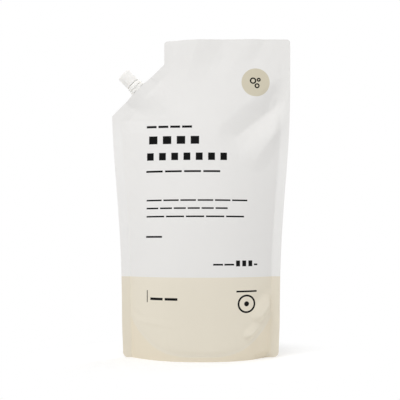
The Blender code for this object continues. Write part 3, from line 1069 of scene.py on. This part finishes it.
def plastic_material(name, color, roughness):
    """Moulded white plastic with a faint flow pattern and a satin grain."""
    made, w, shader = new_material(name)
    _, tone, grain, dulled = mottled(w, PLASTIC_MOTTLE)
    w.feed(shader["Base Color"], toned(w, (*color, 1), tone))
    w.feed(shader["Roughness"], w.plus(dulled, roughness))
    shader["Subsurface Weight"].default_value = 0.15
    shader["Subsurface Radius"].default_value = (1.0, 0.95, 0.9)
    shader["Subsurface Scale"].default_value = 0.001
    add_relief(w, shader, grain, *PLASTIC_RELIEF)
    return made


# Pieces and stage.


def add_piece(name, mesh, material, body, node, place=None):
    """An object that stands for one solid, rides on its body and takes its finish."""
    piece = bpy.data.objects.new(name, mesh)
    bpy.context.scene.collection.objects.link(piece)
    mesh.shade_smooth()
    mesh.set_sharp_from_angle(angle=SHARP_ANGLE)
    if place is not None:
        mesh.transform(place)
    mesh.materials.clear()
    mesh.materials.append(material)
    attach(piece, body)
    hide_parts(node)


def spout_place(scene):
    """From the spout's own frame, +Z along its axis, to the row's frame."""
    form = PouchForm(scene.refill_film, scene.refill_spout)
    point = form.spout_point + Vector((form.shift, 0, 0))
    return Matrix.Translation(point) @ Matrix.Rotation(-form.spout.lean, 4, "Y")


class REFILL_OT_film_pouch(bpy.types.Operator):
    """Build the filled film pouch with its seals, gusset and print"""

    bl_idname = "refill.film_pouch"
    bl_label = "Film Pouch"

    def execute(self, context):
        scene = context.scene
        form = PouchForm(scene.refill_film, scene.refill_spout)
        material = film_material(scene.refill_film)
        add_piece("film_pouch", film_mesh(form), material, "filled_pouch", "pouch")
        return {"FINISHED"}


class REFILL_OT_spout(bpy.types.Operator):
    """Build the moulded spout with its boat, flanges and threaded neck"""

    bl_idname = "refill.spout"
    bl_label = "Spout"

    def execute(self, context):
        spout = context.scene.refill_spout
        hole = circle_outline((spout.neck_radius + spout.bore_radius) / 2)
        flange = rounded_rectangle(LOWER_FLANGE["long"], LOWER_FLANGE["wide"])
        boat = plate_mesh([boat_outline(spout), hole], -spout.boat_depth, spout.boat_depth, 0)
        flange_place = (LOWER_FLANGE["base"], LOWER_FLANGE["thick"], FLANGE_ROUND)
        plate = plate_mesh([flange, hole], *flange_place)
        mesh = joined_mesh("spout_moulding", [neck_mesh(spout), boat, plate])
        material = plastic_material("spout_plastic", spout.color, SPOUT_ROUGHNESS)
        place = spout_place(context.scene)
        add_piece("spout_moulding", mesh, material, "filled_pouch", "spout", place)
        return {"FINISHED"}


class REFILL_OT_cap(bpy.types.Operator):
    """Build the ribbed screw cap"""

    bl_idname = "refill.cap"
    bl_label = "Screw Cap"

    def execute(self, context):
        scene = context.scene
        mesh = cap_mesh(scene.refill_cap, scene.refill_spout)
        material = plastic_material("cap_plastic", scene.refill_cap.color, CAP_ROUGHNESS)
        place = spout_place(scene)
        add_piece("ribbed_cap", mesh, material, "screw_cap", "cap", place)
        return {"FINISHED"}


FLOOR_SIZE = 3.0
# Distances between which the floor runs into the backdrop, its colour to the light, and its
# colour and its glow where it is seen near the pouch.
FLOOR_NEAR = 0.09
FLOOR_FAR = 0.16
FLOOR_BOUNCE = 0.90
FLOOR_SHADE = 0.88
FLOOR_GLOW = 0.195
# Name of the lamp and of its power, place and size.
LAMPS = (
    ("key", (-0.20, -0.55, 1.00), 0.5),
    ("fill", (-1.00, -0.35, 0.15), 0.6),
    ("bounce", (0.90, -0.35, 0.06), 0.6),
    ("back", (0.70, 0.90, 0.90), 0.6),
)


def seen_share(w):
    """1 for rays that show the stage: to the camera, in reflections and through glass."""
    path = w.add("ShaderNodeLightPath").outputs
    seen = w.math("MAXIMUM", path["Is Camera Ray"], path["Is Glossy Ray"])
    return w.math("MAXIMUM", seen, path["Is Transmission Ray"])


def floor_material():
    """A white floor that keeps the pouch's shadow and runs into the white backdrop."""
    made, w, shader = new_material("white_floor")
    shader["Roughness"].default_value = 0.9
    shader["Specular IOR Level"].default_value = 0.0
    place = w.add("ShaderNodeTexCoord").outputs["Object"]
    distance = w.add("ShaderNodeVectorMath", operation="LENGTH")
    w.feed(distance.inputs[0], place)
    near = w.minus(1.0, w.step(distance.outputs["Value"], FLOOR_NEAR, FLOOR_FAR))
    seen = seen_share(w)
    shade = w.times(near, FLOOR_SHADE)
    tone = w.math("MULTIPLY_ADD", seen, w.minus(shade, FLOOR_BOUNCE), FLOOR_BOUNCE)
    w.feed(shader["Base Color"], tone)
    glow = w.minus(1.0, w.times(near, 1.0 - FLOOR_GLOW))
    shader["Emission Color"].default_value = (1, 1, 1, 1)
    w.feed(shader["Emission Strength"], w.times(seen, glow))
    return made


def white_world(surround):
    """White to the camera and in reflections, and a plain soft light on the object."""
    world = bpy.data.worlds.new("white_room")
    world.use_nodes = True
    bpy.context.scene.world = world
    w = Wiring(world.node_tree)
    seen = seen_share(w)
    background = world.node_tree.nodes["Background"].inputs
    background["Color"].default_value = (1, 1, 1, 1)
    w.feed(background["Strength"], w.math("MULTIPLY_ADD", seen, 1.0 - surround, surround))


def area_light(name, place, size, power):
    """A square lamp that shines on the middle of the pouch."""
    light = bpy.data.lights.new(name, "AREA")
    light.shape = "SQUARE"
    light.size = size
    light.energy = power
    lamp = bpy.data.objects.new(name, light)
    lamp.location = place
    aim = Vector((0, 0, (POUCH_LOW.z + POUCH_HIGH.z) / 2)) - Vector(place)
    lamp.rotation_euler = aim.to_track_quat("-Z", "Y").to_euler()
    bpy.context.scene.collection.objects.link(lamp)


class REFILL_OT_stage(bpy.types.Operator):
    """Set up the white floor, the soft light and the camera"""

    bl_idname = "refill.stage"
    bl_label = "Stage"

    def execute(self, context):
        scene = context.scene
        studio = scene.refill_studio
        bpy.ops.mesh.primitive_plane_add(size=FLOOR_SIZE)
        floor = context.object
        floor.name = "floor"
        floor.data.materials.append(floor_material())
        white_world(studio.surround)
        for name, place, size in LAMPS:
            area_light(f"{name}_light", place, size, getattr(studio, name))
        camera = bpy.data.objects.new("camera", bpy.data.cameras.new("camera"))
        camera.data.lens = studio.lens
        camera.data.shift_y = studio.rise
        camera.location = (studio.camera_aside, -studio.camera_distance, studio.camera_height)
        camera.rotation_euler = (math.pi / 2 + studio.camera_tilt, 0, 0)
        scene.collection.objects.link(camera)
        scene.camera = camera
        scene.view_settings.view_transform = "Standard"
        return {"FINISHED"}


class REFILL_PT_panel(bpy.types.Panel):
    """Sizes, colours and the steps that build the pouch"""

    bl_idname = "REFILL_PT_panel"
    bl_label = "Refill Pouch"
    bl_space_type = "VIEW_3D"
    bl_region_type = "UI"
    bl_category = "Refill Pouch"

    def draw(self, context):
        for name, (settings, operator) in STEPS.items():
            box = self.layout.box()
            for key in settings.__annotations__:
                box.prop(getattr(context.scene, name), key)
            box.operator(operator.bl_idname)


STEPS = {
    "refill_film": (FilmSettings, REFILL_OT_film_pouch),
    "refill_spout": (SpoutSettings, REFILL_OT_spout),
    "refill_cap": (CapSettings, REFILL_OT_cap),
    "refill_studio": (StudioSettings, REFILL_OT_stage),
}
CLASSES = (*(made for pair in STEPS.values() for made in pair), REFILL_PT_panel)


def register():
    for made in CLASSES:
        bpy.utils.register_class(made)
    for name, (settings, _) in STEPS.items():
        setattr(bpy.types.Scene, name, PointerProperty(type=settings))


def unregister():
    for name in STEPS:
        delattr(bpy.types.Scene, name)
    for made in reversed(CLASSES):
        bpy.utils.unregister_class(made)


def main():
    register()
    bpy.ops.refill.film_pouch()
    bpy.ops.refill.spout()
    bpy.ops.refill.cap()
    bpy.ops.refill.stage()


if __name__ == "__main__":
    main()
